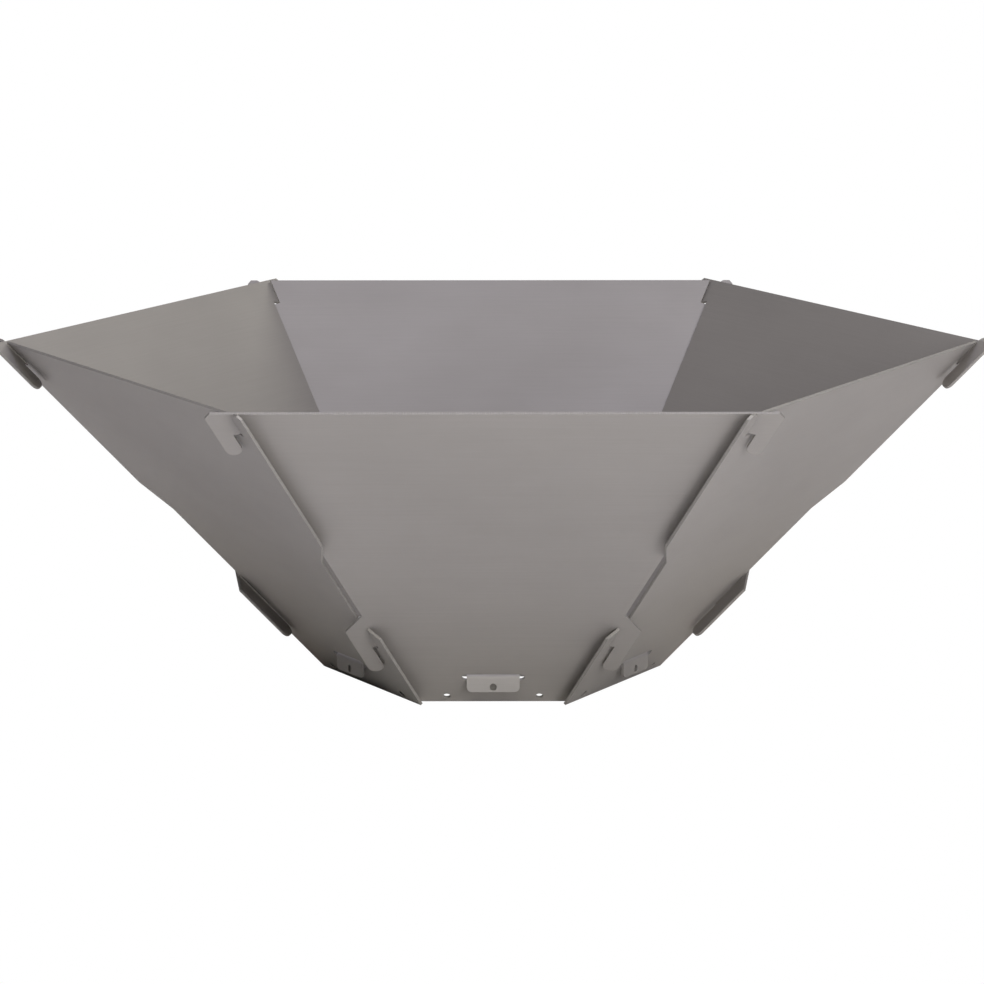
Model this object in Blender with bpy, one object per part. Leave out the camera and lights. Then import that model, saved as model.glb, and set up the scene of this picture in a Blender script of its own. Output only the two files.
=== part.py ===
"""Hexagonal fire basket that plugs together from sheet steel.

Six trapezoid panels lean outwards round a folded base plate. Hook panels and slot panels
take turns: each hook panel drops two hooks a side into the notches of its neighbours, and
the base plate's bent tabs stand through a slot low in every panel. Nothing is screwed.

World frame: +Z up, the centre of the foot at the origin, the front panel facing -Y.
Panel frame: x to the right seen from outside, y up the slope from the foot edge,
z out of the outer face, so the sheet lies between z = -SHEET and z = 0.
Corner frame: "down" runs from the rim along the line where two outer faces meet, and
"out" is square to it in the panel's plane, positive past the corner.
"""
import math

import bmesh
import bpy
from mathutils import Matrix, Vector

# Whole basket, over the outer faces
RIM_RADIUS = 0.350
FOOT_RADIUS = 0.1157
HEIGHT = 0.2412
SHEET = 0.002
FIT = 0.0003

# Fingers of the hooks, and their clearance outside the neighbour's sheet
FINGER_WIDTH = 0.0114
UPPER_FINGER_GAP = 0.0019
LOWER_FINGER_GAP = 0.0006

# Upper hook, measured down from the rim
UPPER_NECK = 0.0213
UPPER_FINGER = 0.0193
UPPER_SLACK = 0.0018
HOOK_NIP = 0.005

# Lower hook, measured up from the foot or from the seat that carries it
SEAT_UP = 0.068
LOWER_FINGER = 0.0266
HOOK_BACK = 0.0227
HOOK_SLOPE = 0.013

# Strips of the slot panels, how far they stand out past the corner line
UPPER_STRIP = 0.0143
LOWER_STRIP = 0.0131
STRIP_NIP = 0.0035
UPPER_LEAD = 0.004
LOWER_LEAD = 0.0044
LOWER_NOTCH = 0.0224

# Opening in a slot panel's edge that lets the lower hook through
OPENING_SPARE = 0.0134
OPENING_SLOPE = 0.0296

# Round holes low in each panel
HOLE = 0.005
HOLE_UP = 0.0064
HOOK_PANEL_INSET = 0.0252
SLOT_PANEL_INSET = 0.0059

# Base plate and its bent tabs
FLOOR_UP = 0.0215
FLOOR_CORNER = 0.004
TAB_WIDTH = 0.0372
LIP_INSET = 0.0017
LIP_DROP = 0.0127
LIP_CORNER = 0.0035
LIP_HOLE_DOWN = 0.009
BEND_RADIUS = 0.001

# Room over a tab in its slot
SLOT_SLACK = 0.0006

# Air and drain holes in the base plate
DRAIN_HOLE = 0.010
DRAIN_CIRCLE = 0.060

# Steps in each curve, and the angle from which an edge between faces stays sharp
HOLE_STEPS = 24
CORNER_STEPS = 6
BEND_STEPS = 5
SHARP_ANGLE = math.radians(30)

# Finish of the bare steel
PANEL_COLOUR = (0.27, 0.255, 0.235, 1.0)
FLOOR_COLOUR = (0.24, 0.225, 0.205, 1.0)
ROUGHNESS = 0.55
METALLIC = 0.85

# Panels in order round the basket, anticlockwise from above, and which of them carry hooks
PANELS = (
    ("front_panel", True),
    ("right_front_panel", False),
    ("right_back_panel", True),
    ("back_panel", False),
    ("left_back_panel", True),
    ("left_front_panel", False),
)
TURN = 2 * math.pi / len(PANELS)

# Panel shape worked out from the two hexagons
RIM_APOTHEM = RIM_RADIUS * math.cos(TURN / 2)
FOOT_APOTHEM = FOOT_RADIUS * math.cos(TURN / 2)
HALF_RIM = RIM_RADIUS * math.sin(TURN / 2)
HALF_FOOT = FOOT_RADIUS * math.sin(TURN / 2)
SLANT = math.hypot(HEIGHT, RIM_APOTHEM - FOOT_APOTHEM)
TILT = math.atan2(HEIGHT, RIM_APOTHEM - FOOT_APOTHEM)
FLARE = math.atan2(HALF_RIM - HALF_FOOT, SLANT)
CORNER_LENGTH = SLANT / math.cos(FLARE)
FOLD = math.acos(math.cos(TURN) * math.sin(TILT) ** 2 + math.cos(TILT) ** 2)

# Edges of the corner joint: how far a panel stays short of its neighbour's inner face,
# where the strip beyond the neighbour's sheet starts, and where the hooks' fingers start
SHORT = -(SHEET + FIT) / math.sin(FOLD)
BEYOND = (SHEET * math.cos(FOLD) + FIT) / math.sin(FOLD)
UPPER_IN = (SHEET * math.cos(FOLD) + UPPER_FINGER_GAP) / math.sin(FOLD)
LOWER_IN = (SHEET * math.cos(FOLD) + LOWER_FINGER_GAP) / math.sin(FOLD)
UPPER_OUT = UPPER_IN + FINGER_WIDTH
LOWER_OUT = LOWER_IN + FINGER_WIDTH

# Places along the corner line, down from the rim
SEAT = CORNER_LENGTH - SEAT_UP
HOOK_TOP = SEAT - HOOK_BACK - HOOK_SLOPE
STRIP_TOP = SEAT + FIT - LOWER_NOTCH
OPENING_TOP = STRIP_TOP - (LOWER_FINGER + HOOK_BACK + HOOK_SLOPE + OPENING_SPARE)

# Base plate: its edge stays short of the panels' inner faces and of the bends, which lie
# inside the slots, so that each lip hangs close outside its panel
FLOOR_TOP = FLOOR_UP + SHEET
LIP_FACE = FOOT_APOTHEM + FLOOR_TOP / math.tan(TILT) - LIP_INSET
OUTER_BEND = BEND_RADIUS + SHEET
BEND_START = LIP_FACE - OUTER_BEND
PANEL_LIMIT = FOOT_APOTHEM + FLOOR_UP / math.tan(TILT) - (SHEET + FIT) / math.sin(TILT)
FLOOR_APOTHEM = min(PANEL_LIMIT, BEND_START)
BEND_LENGTH = math.pi / 2 * (BEND_RADIUS + SHEET / 2)
BLANK_END = BEND_START + BEND_LENGTH + LIP_DROP - OUTER_BEND
BLANK_HOLE = BEND_START + BEND_LENGTH + LIP_HOLE_DOWN - OUTER_BEND

# Slot that a tab passes through: its lower edge clears the lip's back, its round ends
# start level with the tab's edges
SLOT_TOP = (FLOOR_TOP + SLOT_SLACK) / math.sin(TILT)
SLOT_FOOT = (LIP_FACE - SHEET - FIT - FOOT_APOTHEM) / math.cos(TILT)
SLOT_HEIGHT = SLOT_TOP - SLOT_FOOT
SLOT_UP = (SLOT_TOP + SLOT_FOOT) / 2
SLOT_LENGTH = TAB_WIDTH + SLOT_HEIGHT


def clear_scene():
    for item in list(bpy.data.objects):
        bpy.data.objects.remove(item, do_unlink=True)


def steel(name, colour):
    material = bpy.data.materials.new(name)
    material.use_nodes = True
    shader = material.node_tree.nodes["Principled BSDF"]
    shader.inputs["Base Color"].default_value = colour
    shader.inputs["Roughness"].default_value = ROUGHNESS
    shader.inputs["Metallic"].default_value = METALLIC
    return material


def arc(centre, radius, start, sweep, steps):
    """Points on an arc in the plane, from the angle start through sweep."""
    angles = [start + sweep * step / steps for step in range(steps + 1)]
    return [centre + radius * Vector((math.cos(angle), math.sin(angle))) for angle in angles]


def round_hole(centre, diameter):
    return arc(centre, diameter / 2, 0, 2 * math.pi, HOLE_STEPS)[:-1]


def round_ended_slot(centre, length, height):
    reach = Vector((length / 2 - height / 2, 0))
    half = HOLE_STEPS // 2
    right = arc(centre + reach, height / 2, -math.pi / 2, math.pi, half)
    left = arc(centre - reach, height / 2, math.pi / 2, math.pi, half)
    return right + left


def corner_point(down, out):
    """Panel point from the corner frame of its right side."""
    drop = Vector((math.sin(FLARE), math.cos(FLARE)))
    side = Vector((math.cos(FLARE), -math.sin(FLARE)))
    return Vector((HALF_RIM, SLANT)) - drop * down + side * out


def rim_point(out):
    """Where the line at this distance out meets the rim."""
    return corner_point(-out * math.tan(FLARE), out)


def foot_point(out):
    """Where the line at this distance out meets the foot edge."""
    return corner_point(CORNER_LENGTH - out * math.tan(FLARE), out)


def rim_corner(out, nip):
    """Upper outer corner at this distance out, nipped off at an equal length along both edges."""
    down = nip - out * math.tan(FLARE)
    return [corner_point(down, out), rim_point(out) - Vector((nip, 0))]


def finger(neck, start, length):
    """From a neck's underside round a finger that ends in a half circle, to its outer edge."""
    radius = FINGER_WIDTH / 2
    centre = corner_point(neck + length - radius, start + radius)
    tip = arc(centre, radius, math.pi - FLARE, math.pi, HOLE_STEPS // 2)
    return [corner_point(neck, start)] + tip


def hook_edge():
    """Right edge of a hook panel, from the foot to the rim."""
    points = [foot_point(SHORT), corner_point(SEAT, SHORT)]
    points += finger(SEAT, LOWER_IN, LOWER_FINGER)
    points += [corner_point(SEAT - HOOK_BACK, LOWER_OUT), corner_point(HOOK_TOP, SHORT)]
    points += [corner_point(UPPER_NECK, SHORT)]
    points += finger(UPPER_NECK, UPPER_IN, UPPER_FINGER)
    return points + rim_corner(UPPER_OUT, HOOK_NIP)


def slot_edge():
    """Right edge of a slot panel, from the foot to the rim."""
    lower_tip = corner_point(STRIP_TOP + LOWER_LEAD, LOWER_STRIP)
    lower_strip = [foot_point(LOWER_STRIP), lower_tip, corner_point(STRIP_TOP, BEYOND)]
    lower_notch = [corner_point(SEAT + FIT, BEYOND), corner_point(SEAT + FIT, SHORT)]
    slope_end = corner_point(OPENING_TOP - OPENING_SLOPE, UPPER_STRIP)
    opening = [corner_point(OPENING_TOP, SHORT), slope_end]
    lead = UPPER_LEAD - BEYOND * math.tan(FLARE)
    upper_strip = rim_corner(UPPER_STRIP, STRIP_NIP)
    upper_strip += [rim_point(BEYOND + UPPER_LEAD), corner_point(lead, BEYOND)]
    bottom = UPPER_NECK + UPPER_SLACK
    upper_notch = [corner_point(bottom, BEYOND), corner_point(bottom, SHORT), rim_point(SHORT)]
    return lower_strip + lower_notch + opening + upper_strip + upper_notch


def mirrored(points):
    """The same edge on the left side, run the other way."""
    return [Vector((-point.x, point.y)) for point in reversed(points)]


def sheet_mesh(outline, holes):
    """Flat sheet from its outline and its holes, between z = 0 and z = SHEET."""
    shape = bmesh.new()
    for loop in [outline] + holes:
        corners = [shape.verts.new((point.x, point.y, 0)) for point in loop]
        for corner, following in zip(corners, corners[1:] + corners[:1]):
            shape.edges.new((corner, following))
    bmesh.ops.triangle_fill(shape, use_beauty=True, edges=shape.edges[:])
    raised = bmesh.ops.extrude_face_region(shape, geom=shape.faces[:])["geom"]
    corners = [item for item in raised if isinstance(item, bmesh.types.BMVert)]
    bmesh.ops.translate(shape, verts=corners, vec=(0, 0, SHEET))
    bmesh.ops.recalc_face_normals(shape, faces=shape.faces[:])
    return shape


def add_object(name, shape, colour, place):
    mesh = bpy.data.meshes.new(name)
    shape.to_mesh(mesh)
    shape.free()
    mesh.shade_smooth()
    mesh.set_sharp_from_angle(angle=SHARP_ANGLE)
    mesh.materials.append(steel(name + "_steel", colour))
    item = bpy.data.objects.new(name, mesh)
    item.matrix_world = place
    bpy.context.scene.collection.objects.link(item)


def add_panel(name, index, hooked):
    """One side of the basket, turned into its place round the foot."""
    edge = hook_edge() if hooked else slot_edge()
    hole_out = HALF_FOOT - (HOOK_PANEL_INSET if hooked else SLOT_PANEL_INSET)
    holes = [round_hole(Vector((side * hole_out, HOLE_UP)), HOLE) for side in (-1, 1)]
    holes.append(round_ended_slot(Vector((0, SLOT_UP)), SLOT_LENGTH, SLOT_HEIGHT))
    shape = sheet_mesh(edge + mirrored(edge), holes)
    bmesh.ops.translate(shape, verts=shape.verts[:], vec=(0, 0, -SHEET))
    turn = Matrix.Rotation(index * TURN, 4, "Z")
    stand = Matrix.Translation((0, -FOOT_APOTHEM, 0)) @ Matrix.Rotation(math.pi - TILT, 4, "X")
    add_object(name, shape, PANEL_COLOUR, turn @ stand)


def tab_outline():
    """One side of the base plate's blank, along +x, from corner to corner."""
    half = TAB_WIDTH / 2
    corner = FLOOR_APOTHEM * math.tan(TURN / 2) - FLOOR_CORNER
    centre = Vector((BLANK_END - LIP_CORNER, half - LIP_CORNER))
    upper = arc(centre, LIP_CORNER, 0, math.pi / 2, CORNER_STEPS)
    upper += [Vector((FLOOR_APOTHEM, half)), Vector((FLOOR_APOTHEM, corner))]
    lower = [Vector((point.x, -point.y)) for point in reversed(upper)]
    return lower + upper


def turned(points, angle):
    spin = Matrix.Rotation(angle, 2)
    return [spin @ point for point in points]


def bend_tab(shape, direction):
    """Fold the blank's end down: what lies past BEND_START rolls round a quarter circle."""
    for step in range(BEND_STEPS + 1):
        line = direction * (BEND_START + BEND_LENGTH * step / BEND_STEPS)
        parts = shape.verts[:] + shape.edges[:] + shape.faces[:]
        bmesh.ops.bisect_plane(shape, geom=parts, plane_co=line, plane_no=direction)
    for corner in shape.verts:
        past = corner.co.dot(direction) - BEND_START
        if past <= 0:
            continue
        angle = min(past / BEND_LENGTH, 1) * math.pi / 2
        radius = BEND_RADIUS + corner.co.z
        straight = max(past - BEND_LENGTH, 0)
        corner.co += direction * (radius * math.sin(angle) - past)
        corner.co.z = radius * math.cos(angle) - BEND_RADIUS - straight


def add_base_plate():
    """Floor of the basket: a hexagon with a bent tab on each side."""
    headings = [index * TURN - math.pi / 2 for index in range(len(PANELS))]
    outline = []
    for heading in headings:
        outline += turned(tab_outline(), heading)
    holes = [round_hole(Vector((0, 0)), DRAIN_HOLE)]
    for heading in headings:
        holes += [turned(round_hole(Vector((DRAIN_CIRCLE, 0)), DRAIN_HOLE), heading)]
        holes += [turned(round_hole(Vector((BLANK_HOLE, 0)), HOLE), heading)]
    shape = sheet_mesh(outline, holes)
    for heading in headings:
        bend_tab(shape, Vector((math.cos(heading), math.sin(heading), 0)))
    add_object("base_plate", shape, FLOOR_COLOUR, Matrix.Translation((0, 0, FLOOR_UP)))


def main():
    clear_scene()
    for index, (name, hooked) in enumerate(PANELS):
        add_panel(name, index, hooked)
    add_base_plate()


main()
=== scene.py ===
"""Looks of a plug-together fire basket of bare sheet steel, standing in a pale studio.

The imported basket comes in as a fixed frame. Each of its seven sheets is made again as a welded
copy with softened laser-cut edges, and carries its own flat map, so that the rolled grain lies
in the sheet whichever way the sheet leans. Lengths are in metres.
"""

import math

import bmesh
import bpy
import numpy as np
from bpy.props import FloatProperty, FloatVectorProperty, IntProperty, PointerProperty
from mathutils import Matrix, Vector
from mathutils.bvhtree import BVHTree


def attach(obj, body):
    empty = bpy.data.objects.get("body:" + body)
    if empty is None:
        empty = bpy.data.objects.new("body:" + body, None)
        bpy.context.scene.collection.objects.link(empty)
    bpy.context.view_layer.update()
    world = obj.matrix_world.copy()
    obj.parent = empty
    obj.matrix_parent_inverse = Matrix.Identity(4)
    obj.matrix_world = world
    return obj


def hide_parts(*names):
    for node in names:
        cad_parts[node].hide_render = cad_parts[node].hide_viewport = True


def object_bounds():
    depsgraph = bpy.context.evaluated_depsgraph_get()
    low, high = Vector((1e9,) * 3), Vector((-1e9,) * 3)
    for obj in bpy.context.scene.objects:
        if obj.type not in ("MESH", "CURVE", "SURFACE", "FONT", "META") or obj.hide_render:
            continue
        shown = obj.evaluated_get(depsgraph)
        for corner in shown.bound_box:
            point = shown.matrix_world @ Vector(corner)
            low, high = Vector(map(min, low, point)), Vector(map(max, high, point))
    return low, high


bl_info = {
    "name": "Fire Basket Looks",
    "version": (1, 0, 0),
    "blender": (4, 5, 0),
    "location": "3D View > Sidebar > Fire Basket",
    "description": "Dresses a plug-together fire basket in bare steel and stands it in a studio",
    "category": "Object",
}

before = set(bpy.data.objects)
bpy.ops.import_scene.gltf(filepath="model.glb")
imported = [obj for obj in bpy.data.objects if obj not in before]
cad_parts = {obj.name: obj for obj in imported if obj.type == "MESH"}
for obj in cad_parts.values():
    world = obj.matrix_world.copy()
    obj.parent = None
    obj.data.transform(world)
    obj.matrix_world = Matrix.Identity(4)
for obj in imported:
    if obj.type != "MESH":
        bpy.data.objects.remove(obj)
CAD_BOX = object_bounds()

BODY = "root"
HOOK_PANELS = ("front_panel", "right_back_panel", "left_back_panel")
SLOT_PANELS = ("right_front_panel", "back_panel", "left_front_panel")
BASE_PLATES = ("base_plate",)
# The base plate's slot holds a lighter copy of the panels' steel, with painted light that
# brightens the plate and its lips
PANEL_SLOT = "panel_steel"
BASE_SLOT = "base_steel"

# Material slots of a dressed sheet
FACE = 0
CUT = 1

# Attribute that holds each vertex's place on the flat sheet
SHEET_MAP = "sheet"

# Step that corners are rounded to, and how far under the surface a line into the sheet starts
WELD = 0.000001

# Faces within this angle of each other are in one plane, and a sheet that leans less is level
FLAT_ANGLE = math.radians(0.5)

# Edges where the surface turns by more than this are rounded
SHARP_ANGLE = math.radians(35)

# A line through the sheet that is longer than this runs along it and not across it
THROUGH = 0.003

# Middle part of a noise's range, which is spread over the whole range of what it drives
NOISE_SPAN = (0.3, 0.7)
CLOUD_SPAN = (0.35, 0.65)

# Darkest and brightest share of the colour
CLOUD_SHADES = (0.97, 1.03)
SCORE_SHADES = (0.93, 1.07)

# How strongly the rolled lines show in the colour
LINE_SHARE = 0.04

# What clouds and rolled lines add to the roughness of a face, from their darkest to their palest
CLOUD_GLOSS = (0.03, -0.03)
LINE_GLOSS = (-0.03, 0.03)

# Roughness of a cut edge, from its darkest score to its palest, and height of the scores
SCORE_ROUGHNESS = (0.7, 0.6)
SCORE_DEPTH = 0.000015

# How many times longer than wide the clouds and the scores are
CLOUD_STRETCH = 1.8
SCORE_STRETCH = 12.0

# Colour sockets of a Mix node, whose names its other sockets have as well
MIX_FIRST = 6
MIX_SECOND = 7
MIX_RESULT = 2

# Gap between the lowest corner and the floor, the floor's roughness, and how far the camera sees
FLOOR_GAP = 0.0003
FLOOR_ROUGHNESS = 0.9
FARTHEST = 100.0

# Colours of the lights
WHITE = (1.0, 1.0, 1.0)
CREAM = (1.0, 1.0, 0.91)
PALE = (1.0, 0.965, 0.86)
WARM = (1.0, 0.76, 0.58)
COOL = (0.7, 0.73, 1.0)

# Name, place, side of the square, power in watts and colour of each light
LIGHTS = (
    ("Key low on the right", (1.6, -3.2, 0.9), 1.0, 69.5, WHITE),
    ("Over the front rim", (0.0, -1.1, 0.7), 0.3, 3.6, CREAM),
    ("High in front", (0.0, -1.8, 4.0), 1.2, 59.0, COOL),
    ("Broad overhead", (0.0, 0.0, 3.5), 5.0, 59.5, PALE),
    ("Low behind", (0.0, 3.2, 1.1), 1.4, 20.5, WARM),
    ("Behind on the right", (1.6, 2.6, 2.0), 1.2, 26.5, CREAM),
    ("Behind on the left", (-2.4, 2.0, 2.4), 2.0, 7.7, WHITE),
)


class SheetSizes(bpy.types.PropertyGroup):
    """How a sheet's cut edges are rounded."""

    edge_radius: FloatProperty(
        name="Edge radius", description="Rounding that deburring leaves on a cut edge",
        default=0.0002, min=0.00002, max=0.0009, unit="LENGTH", precision=5,
    )
    edge_steps: IntProperty(
        name="Edge steps", description="Faces across one rounded edge",
        default=2, min=1, max=6,
    )


class SteelFinish(bpy.types.PropertyGroup):
    """Colours and grain of the bare steel."""

    panel_colour: FloatVectorProperty(
        name="Panels", description="Flat faces of the six panels",
        default=(0.300, 0.280, 0.267), min=0.0, max=1.0, subtype="COLOR",
    )
    # Painted light: the panels' steel made about a tenth lighter, so the base plate's lips show
    # brighter than the lamps make them
    base_painted_light_colour: FloatVectorProperty(
        name="Base plate", description="Flat faces of the base plate and its lips",
        default=(0.325, 0.306, 0.296), min=0.0, max=1.0, subtype="COLOR",
    )
    cut_colour: FloatVectorProperty(
        name="Cut edges", description="Freshly cut steel along every edge and hole",
        default=(0.285, 0.268, 0.254), min=0.0, max=1.0, subtype="COLOR",
    )
    metallic: FloatProperty(
        name="Metallic", description="Metallic value of the whole basket",
        default=0.5, min=0.0, max=1.0, subtype="FACTOR",
    )
    roughness: FloatProperty(
        name="Roughness", description="Mean roughness of the mill finish",
        default=0.64, min=0.0, max=1.0, subtype="FACTOR",
    )
    grain_pitch: FloatProperty(
        name="Grain pitch", description="Distance from one rolling line to the next",
        default=0.0007, min=0.0001, unit="LENGTH", precision=5,
    )
    grain_length: FloatProperty(
        name="Grain length", description="Length of one rolling line",
        default=0.060, min=0.001, unit="LENGTH",
    )
    grain_depth: FloatProperty(
        name="Grain depth", description="Height of the rolling lines in the surface",
        default=0.000007, min=0.0, unit="LENGTH", precision=6,
    )
    cloud_size: FloatProperty(
        name="Cloud size", description="Width of the pale and dark clouds of the mill finish",
        default=0.110, min=0.005, unit="LENGTH",
    )
    score_pitch: FloatProperty(
        name="Score pitch", description="Distance between the fine lines across a cut edge",
        default=0.00045, min=0.0001, unit="LENGTH", precision=5,
    )


class StudioSettings(bpy.types.PropertyGroup):
    """Camera, floor and the room's even light."""

    camera_place: FloatVectorProperty(
        name="Camera", description="Where the camera stands",
        default=(-0.0179, -3.3713, 0.7736), subtype="TRANSLATION", unit="LENGTH",
    )
    camera_turn: FloatVectorProperty(
        name="Camera turn", description="Which way the camera looks",
        default=(math.radians(79.2175), 0.0, math.radians(-0.3007)), subtype="EULER",
    )
    lens: FloatProperty(
        name="Lens", description="Focal length on a sensor 36 mm wide",
        default=173.79, min=10.0, unit="CAMERA",
    )
    floor_size: FloatProperty(
        name="Floor", description="Side of the square floor",
        default=24.0, min=1.0, unit="LENGTH",
    )
    floor_colour: FloatVectorProperty(
        name="Floor colour", description="Colour of the floor as it lights the basket",
        default=(0.97, 0.97, 0.97), min=0.0, max=1.0, subtype="COLOR",
    )
    sky_colour: FloatVectorProperty(
        name="Sky colour", description="Colour of the room's even light",
        default=WHITE, min=0.0, max=1.0, subtype="COLOR",
    )
    sky_strength: FloatProperty(
        name="Sky strength", description="Strength of the room's even light",
        default=0.02, min=0.0,
    )
    backdrop: FloatProperty(
        name="Backdrop", description="Brightness of the floor and background to the camera",
        default=1.0, min=0.0,
    )


class BasketSettings(bpy.types.PropertyGroup):
    """Everything that a user sets."""

    sheet: PointerProperty(
        name="Sheet", description="How a sheet's cut edges are rounded", type=SheetSizes
    )
    finish: PointerProperty(
        name="Finish", description="Colours and grain of the bare steel", type=SteelFinish
    )
    studio: PointerProperty(
        name="Studio", description="Camera, floor and the room's even light", type=StudioSettings
    )


def set_inputs(node, values):
    """Plain values on a node's named inputs."""
    for name, value in values.items():
        node.inputs[name].default_value = value


def add_node(tree, kind, values=None, **settings):
    """Node of this kind with its settings and its unlinked inputs."""
    node = tree.nodes.new(kind)
    for name, value in settings.items():
        setattr(node, name, value)
    set_inputs(node, values or {})
    return node


def feed(tree, socket, value):
    """Link from another socket, or a plain value, on an input."""
    if isinstance(value, bpy.types.NodeSocket):
        tree.links.new(value, socket)
    else:
        socket.default_value = value


def calculate(tree, operation, first, second):
    """Math node on two values, each a socket or a number."""
    node = add_node(tree, "ShaderNodeMath", operation=operation)
    feed(tree, node.inputs[0], first)
    feed(tree, node.inputs[1], second)
    return node.outputs[0]


def remap(tree, value, source, target):
    """Straight-line map of a value from one range to another, held inside the second."""
    node = add_node(tree, "ShaderNodeMapRange")
    limits = dict(zip(("From Min", "From Max", "To Min", "To Max"), (*source, *target)))
    set_inputs(node, limits)
    tree.links.new(value, node.inputs["Value"])
    return node.outputs["Result"]


def blend_colours(tree, share, first, second, blend_type="MIX"):
    """Blend of two colours by a share from 0 to 1, each of the three a socket or a plain value."""
    node = add_node(tree, "ShaderNodeMix", data_type="RGBA", blend_type=blend_type)
    feed(tree, node.inputs["Factor"], share)
    feed(tree, node.inputs[MIX_FIRST], first)
    feed(tree, node.inputs[MIX_SECOND], second)
    return node.outputs[MIX_RESULT]


def new_group(name, inputs, outputs):
    """Empty shader group with named sockets, and its input and output nodes."""
    tree = bpy.data.node_groups.new(name, "ShaderNodeTree")
    for label, kind, default in inputs:
        socket = tree.interface.new_socket(label, in_out="INPUT", socket_type=kind)
        if default is not None:
            socket.default_value = default
    for label, kind in outputs:
        tree.interface.new_socket(label, in_out="OUTPUT", socket_type=kind)
    return tree, tree.nodes.new("NodeGroupInput"), tree.nodes.new("NodeGroupOutput")


def stretched_noise(tree, place, pitches, detail, roughness):
    """Noise over the place divided by one pitch for each direction."""
    split = add_node(tree, "ShaderNodeSeparateXYZ")
    tree.links.new(place, split.inputs[0])
    joined = add_node(tree, "ShaderNodeCombineXYZ")
    for part, pitch, target in zip(split.outputs, pitches, joined.inputs):
        tree.links.new(calculate(tree, "DIVIDE", part, pitch), target)
    noise = add_node(
        tree, "ShaderNodeTexNoise", {"Scale": 1.0, "Detail": detail, "Roughness": roughness}
    )
    tree.links.new(joined.outputs[0], noise.inputs["Vector"])
    return noise.outputs[0]


def rolled_grain(name):
    """Group: long fine lines that run across the sheet."""
    tree, given, result = new_group(
        name,
        (
            ("Place", "NodeSocketVector", None),
            ("Pitch", "NodeSocketFloat", 0.001),
            ("Length", "NodeSocketFloat", 0.05),
        ),
        (("Lines", "NodeSocketFloat"),),
    )
    place, pitch, length = given.outputs[:3]
    lines = stretched_noise(tree, place, (length, pitch, pitch), detail=3.0, roughness=0.6)
    tree.links.new(lines, result.inputs["Lines"])
    return tree


def mill_clouds(name):
    """Group: broad soft clouds of the mill finish, drawn out along the rolling direction."""
    tree, given, result = new_group(
        name,
        (("Place", "NodeSocketVector", None), ("Size", "NodeSocketFloat", 0.1)),
        (("Clouds", "NodeSocketFloat"),),
    )
    place, size = given.outputs[:2]
    length = calculate(tree, "MULTIPLY", size, CLOUD_STRETCH)
    clouds = stretched_noise(tree, place, (length, size, size), detail=4.0, roughness=0.55)
    tree.links.new(clouds, result.inputs["Clouds"])
    return tree


def cut_scores(name):
    """Group: fine scores that the cutting beam leaves across a sheet's edge."""
    tree, given, result = new_group(
        name,
        (("Place", "NodeSocketVector", None), ("Pitch", "NodeSocketFloat", 0.0005)),
        (("Scores", "NodeSocketFloat"),),
    )
    place, pitch = given.outputs[:2]
    length = calculate(tree, "MULTIPLY", pitch, SCORE_STRETCH)
    scores = stretched_noise(tree, place, (pitch, pitch, length), detail=1.0, roughness=0.5)
    tree.links.new(scores, result.inputs["Scores"])
    return tree


def place_group(tree, name, build, values, place):
    """Pattern of a shared group at a place on the flat sheet. The first use builds the group."""
    group = bpy.data.node_groups.get(name) or build(name)
    node = add_node(tree, "ShaderNodeGroup", values, node_tree=group)
    tree.links.new(place, node.inputs["Place"])
    return node.outputs[0]


def start_material(name):
    """New material: its tree, its Principled node and the place on the flat sheet."""
    material = bpy.data.materials.new(name)
    material.use_nodes = True
    tree = material.node_tree
    place = add_node(tree, "ShaderNodeAttribute", attribute_name=SHEET_MAP).outputs["Vector"]
    return material, tree, tree.nodes["Principled BSDF"], place


def raise_surface(tree, shader, height, depth):
    """Relief of a pattern that runs from 0 to 1, with this depth in metres."""
    bump = add_node(tree, "ShaderNodeBump", {"Strength": 1.0, "Distance": depth})
    tree.links.new(height, bump.inputs["Height"])
    tree.links.new(bump.outputs[0], shader.inputs["Normal"])


def shades(colour, shares):
    """The colour times each share, as opaque colours."""
    return [(*(part * share for part in colour), 1.0) for share in shares]


def face_steel(name, colour, finish):
    """Mill-finish steel: soft clouds and rolled lines in colour and gloss, lines in relief."""
    material, tree, shader, place = start_material(name)
    grain_sizes = {"Pitch": finish.grain_pitch, "Length": finish.grain_length}
    grain = place_group(tree, "Rolled grain", rolled_grain, grain_sizes, place)
    clouds = place_group(tree, "Mill clouds", mill_clouds, {"Size": finish.cloud_size}, place)
    patch = remap(tree, clouds, CLOUD_SPAN, (0.0, 1.0))
    cloudy = blend_colours(tree, patch, *shades(colour, CLOUD_SHADES))
    line = remap(tree, grain, NOISE_SPAN, (0.0, 1.0))
    lined = blend_colours(tree, LINE_SHARE, cloudy, line, blend_type="OVERLAY")
    tree.links.new(lined, shader.inputs["Base Color"])
    cloud_gloss = remap(tree, clouds, NOISE_SPAN, CLOUD_GLOSS)
    line_gloss = remap(tree, grain, NOISE_SPAN, LINE_GLOSS)
    gloss = calculate(tree, "ADD", cloud_gloss, finish.roughness)
    tree.links.new(calculate(tree, "ADD", gloss, line_gloss), shader.inputs["Roughness"])
    shader.inputs["Metallic"].default_value = finish.metallic
    raise_surface(tree, shader, grain, finish.grain_depth)
    return material


def cut_steel(name, colour, finish):
    """Laser-cut edge: steel with fine scores across the sheet."""
    material, tree, shader, place = start_material(name)
    score_sizes = {"Pitch": finish.score_pitch}
    scores = place_group(tree, "Cut scores", cut_scores, score_sizes, place)
    share = remap(tree, scores, NOISE_SPAN, (0.0, 1.0))
    scored = blend_colours(tree, share, *shades(colour, SCORE_SHADES))
    tree.links.new(scored, shader.inputs["Base Color"])
    gloss = remap(tree, scores, NOISE_SPAN, SCORE_ROUGHNESS)
    tree.links.new(gloss, shader.inputs["Roughness"])
    shader.inputs["Metallic"].default_value = finish.metallic
    raise_surface(tree, shader, scores, SCORE_DEPTH)
    return material


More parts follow.
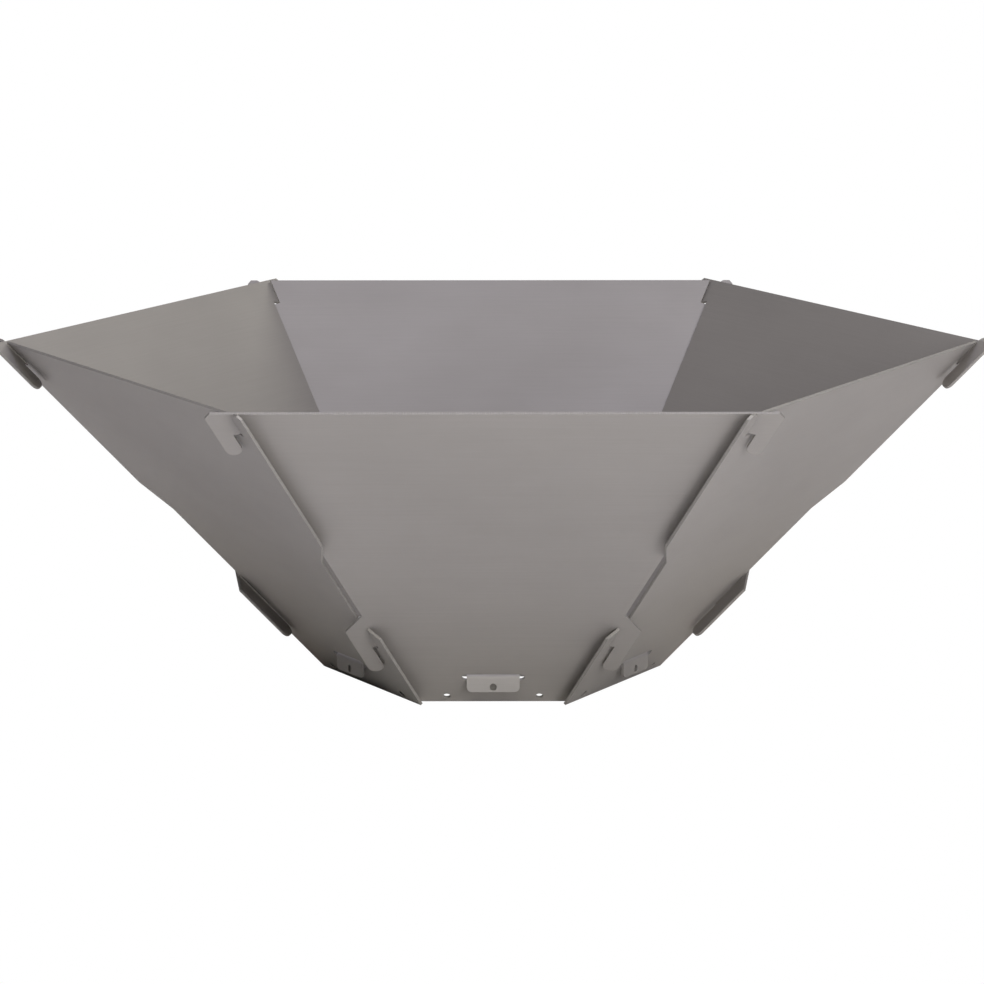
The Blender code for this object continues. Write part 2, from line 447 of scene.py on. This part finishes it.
def steel_pair(slot, colour, finish):
    """Face and cut-edge steel of one material slot, made once."""
    names = (slot + "_face", slot + "_cut")
    face = bpy.data.materials.get(names[FACE]) or face_steel(names[FACE], colour, finish)
    cut = bpy.data.materials.get(names[CUT]) or cut_steel(names[CUT], finish.cut_colour, finish)
    return face, cut


def node_triangles(node):
    """Corner positions of a node's triangles, as an array of triangle, corner and axis."""
    mesh = node.data
    mesh.calc_loop_triangles()
    corners = np.empty(len(mesh.vertices) * 3)
    mesh.vertices.foreach_get("co", corners)
    order = np.empty(len(mesh.loop_triangles) * 3, dtype=np.int32)
    mesh.loop_triangles.foreach_get("vertices", order)
    return corners.reshape(-1, 3)[order].reshape(-1, 3, 3)


def triangle_normals(triangles):
    """Cross product of two sides of each triangle, which is as long as twice its area."""
    edges = triangles[:, 1:] - triangles[:, :1]
    return np.cross(edges[:, 0], edges[:, 1])


def sheet_axes(triangles):
    """Across, up and out of a flat sheet.

    Out is the normal of the largest triangle, turned to the side that faces down. Up is what
    is left of the world's Z, or of Y on a level sheet, without its part along out. Across
    completes the three.
    """
    normals = triangle_normals(triangles)
    out = normals[np.argmax(np.linalg.norm(normals, axis=1))]
    out = out / -np.copysign(np.linalg.norm(out), out[2])
    level = abs(out[2]) > math.cos(FLAT_ANGLE)
    rise = np.array((0.0, 1.0, 0.0) if level else (0.0, 0.0, 1.0))
    up = rise - out * (rise @ out)
    up /= np.linalg.norm(up)
    return np.stack((np.cross(up, out), up, out))


def cut_triangles(triangles):
    """Slot of each triangle, rolled face or cut edge.

    From a rolled face, a line against its normal meets the other face at the sheet's
    thickness. From a cut edge it runs on inside the sheet.
    """
    normals = triangle_normals(triangles)
    normals /= np.linalg.norm(normals, axis=1, keepdims=True)
    order = np.arange(len(triangles) * 3).reshape(-1, 3)
    solid = BVHTree.FromPolygons(triangles.reshape(-1, 3).tolist(), order.tolist())
    starts = triangles.mean(axis=1) - normals * WELD
    hits = [
        solid.ray_cast(Vector(start), Vector(-normal), THROUGH)[2]
        for start, normal in zip(starts, normals)
    ]
    return np.array([CUT if hit is None else FACE for hit in hits], dtype=np.int32)


def welded_sheet(name, triangles):
    """Closed mesh from loose triangles.

    Corners that round to the same point are one vertex. Triangles in one plane and one slot
    become one face.
    """
    points, order = np.unique(
        np.round(triangles.reshape(-1, 3) / WELD), axis=0, return_inverse=True
    )
    mesh = bpy.data.meshes.new(name)
    mesh.from_pydata(points * WELD, [], order.reshape(-1, 3))
    mesh.polygons.foreach_set("material_index", cut_triangles(triangles))
    shape = bmesh.new()
    shape.from_mesh(mesh)
    bmesh.ops.dissolve_limit(
        shape, angle_limit=FLAT_ANGLE, verts=shape.verts[:], edges=shape.edges[:],
        delimit={"MATERIAL"},
    )
    shape.to_mesh(mesh)
    shape.free()
    return mesh


def map_sheet(mesh, axes):
    """Attribute on the vertices: the place along the sheet's own across, up and out."""
    points = np.empty(len(mesh.vertices) * 3)
    mesh.vertices.foreach_get("co", points)
    flat = points.reshape(-1, 3) @ axes.T
    attribute = mesh.attributes.new(SHEET_MAP, "FLOAT_VECTOR", "POINT")
    attribute.data.foreach_set("vector", flat.ravel())


def soften_edges(piece, sizes):
    """Bevel that rounds the sharp edges and shows the cut steel."""
    bevel = piece.modifiers.new("Softened edges", "BEVEL")
    bevel.limit_method = "ANGLE"
    bevel.angle_limit = SHARP_ANGLE
    bevel.width = sizes.edge_radius
    bevel.segments = sizes.edge_steps
    bevel.harden_normals = True
    bevel.material = CUT


def add_object(name, data):
    """New object in the scene, at the origin."""
    item = bpy.data.objects.new(name, data)
    bpy.context.scene.collection.objects.link(item)
    return item


def dress_sheet(node_name, slot, colour, settings):
    """One sheet's visible piece, which stands for its CAD node."""
    triangles = node_triangles(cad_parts[node_name])
    mesh = welded_sheet(node_name + "_sheet", triangles)
    map_sheet(mesh, sheet_axes(triangles))
    for material in steel_pair(slot, colour, settings.finish):
        mesh.materials.append(material)
    mesh.shade_smooth()
    piece = add_object(node_name + "_sheet", mesh)
    soften_edges(piece, settings.sheet)
    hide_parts(node_name)
    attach(piece, BODY)


def dress_all(names, slot, colour, settings):
    """Dress each named sheet, and give an operator's result."""
    for name in names:
        dress_sheet(name, slot, colour, settings)
    return {"FINISHED"}


class BASKET_OT_hook_panels(bpy.types.Operator):
    """Dress the three panels that carry the hooks"""

    bl_idname = "basket.hook_panels"
    bl_label = "Hook panels"

    def execute(self, context):
        settings = context.scene.basket
        return dress_all(HOOK_PANELS, PANEL_SLOT, settings.finish.panel_colour, settings)


class BASKET_OT_slot_panels(bpy.types.Operator):
    """Dress the three panels with the notches and the strips"""

    bl_idname = "basket.slot_panels"
    bl_label = "Slot panels"

    def execute(self, context):
        settings = context.scene.basket
        return dress_all(SLOT_PANELS, PANEL_SLOT, settings.finish.panel_colour, settings)


class BASKET_OT_base_plate(bpy.types.Operator):
    """Dress the base plate with its bent tabs"""

    bl_idname = "basket.base_plate"
    bl_label = "Base plate"

    def execute(self, context):
        settings = context.scene.basket
        # The base plate takes the lighter steel with painted light
        return dress_all(BASE_PLATES, BASE_SLOT, settings.finish.base_painted_light_colour, settings)


def add_camera(studio):
    """The scene's camera, at its set place and turn."""
    data = bpy.data.cameras.new("Camera")
    data.lens = studio.lens
    data.clip_end = FARTHEST
    camera = add_object("Camera", data)
    camera.location = studio.camera_place
    camera.rotation_euler = studio.camera_turn
    bpy.context.scene.camera = camera


def add_light(name, place, target, size, power, colour):
    """Square soft light that looks at a point."""
    data = bpy.data.lights.new(name, "AREA")
    data.size = size
    data.energy = power
    data.color = colour
    light = add_object(name, data)
    light.location = place
    aim = Vector(target) - Vector(place)
    light.rotation_euler = aim.to_track_quat("-Z", "Y").to_euler()


def bright_to_camera(tree, shader_socket, backdrop, output):
    """The camera sees plain white where other rays see the shader."""
    glow = add_node(tree, "ShaderNodeEmission", {"Strength": backdrop})
    path = add_node(tree, "ShaderNodeLightPath")
    mix = add_node(tree, "ShaderNodeMixShader")
    tree.links.new(path.outputs["Is Camera Ray"], mix.inputs[0])
    tree.links.new(shader_socket, mix.inputs[1])
    tree.links.new(glow.outputs[0], mix.inputs[2])
    tree.links.new(mix.outputs[0], output)


def floor_paper(studio):
    """Matt pale floor material, plain white to the camera."""
    material = bpy.data.materials.new("floor_paper")
    material.use_nodes = True
    tree = material.node_tree
    shader = tree.nodes["Principled BSDF"]
    set_inputs(shader, {"Base Color": (*studio.floor_colour, 1.0), "Roughness": FLOOR_ROUGHNESS})
    surface = tree.nodes["Material Output"].inputs["Surface"]
    bright_to_camera(tree, shader.outputs[0], studio.backdrop, surface)
    return material


def add_floor(studio):
    """Level square under the lowest corner of the basket."""
    half = studio.floor_size / 2
    level = CAD_BOX[0].z - FLOOR_GAP
    corners = np.array(((-half, -half), (half, -half), (half, half), (-half, half)))
    points = np.column_stack((corners, np.full(len(corners), level)))
    mesh = bpy.data.meshes.new("floor")
    mesh.from_pydata(points, [], [(0, 1, 2, 3)])
    mesh.materials.append(floor_paper(studio))
    add_object("floor", mesh)


def add_sky(studio):
    """Even light from the whole room."""
    world = bpy.data.worlds.new("Room")
    world.use_nodes = True
    tree = world.node_tree
    sky = tree.nodes["Background"]
    set_inputs(sky, {"Color": (*studio.sky_colour, 1.0), "Strength": studio.sky_strength})
    surface = tree.nodes["World Output"].inputs["Surface"]
    bright_to_camera(tree, sky.outputs[0], studio.backdrop, surface)
    bpy.context.scene.world = world


class BASKET_OT_stage(bpy.types.Operator):
    """Build the floor, the room, the lights and the camera"""

    bl_idname = "basket.stage"
    bl_label = "Studio"

    def execute(self, context):
        studio = context.scene.basket.studio
        middle = (CAD_BOX[0] + CAD_BOX[1]) / 2
        add_floor(studio)
        add_sky(studio)
        for name, place, size, power, colour in LIGHTS:
            add_light(name, place, middle, size, power, colour)
        add_camera(studio)
        context.scene.view_settings.view_transform = "Standard"
        return {"FINISHED"}


STEPS = (BASKET_OT_hook_panels, BASKET_OT_slot_panels, BASKET_OT_base_plate, BASKET_OT_stage)


class BASKET_PT_looks(bpy.types.Panel):
    """Buttons for each group of pieces, and their settings"""

    bl_idname = "BASKET_PT_looks"
    bl_label = "Fire Basket"
    bl_space_type = "VIEW_3D"
    bl_region_type = "UI"
    bl_category = "Fire Basket"

    def draw(self, context):
        settings = context.scene.basket
        for step in STEPS:
            self.layout.operator(step.bl_idname)
        for group in (settings.sheet, settings.finish, settings.studio):
            box = self.layout.box()
            for name in group.__annotations__:
                box.prop(group, name)


CLASSES = (
    SheetSizes, SteelFinish, StudioSettings, BasketSettings, *STEPS, BASKET_PT_looks,
)


def register():
    for item in CLASSES:
        bpy.utils.register_class(item)
    bpy.types.Scene.basket = PointerProperty(type=BasketSettings)


def unregister():
    del bpy.types.Scene.basket
    for item in reversed(CLASSES):
        bpy.utils.unregister_class(item)


def main():
    """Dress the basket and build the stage."""
    register()
    bpy.ops.basket.hook_panels()
    bpy.ops.basket.slot_panels()
    bpy.ops.basket.base_plate()
    bpy.ops.basket.stage()


if __name__ == "__main__":
    main()
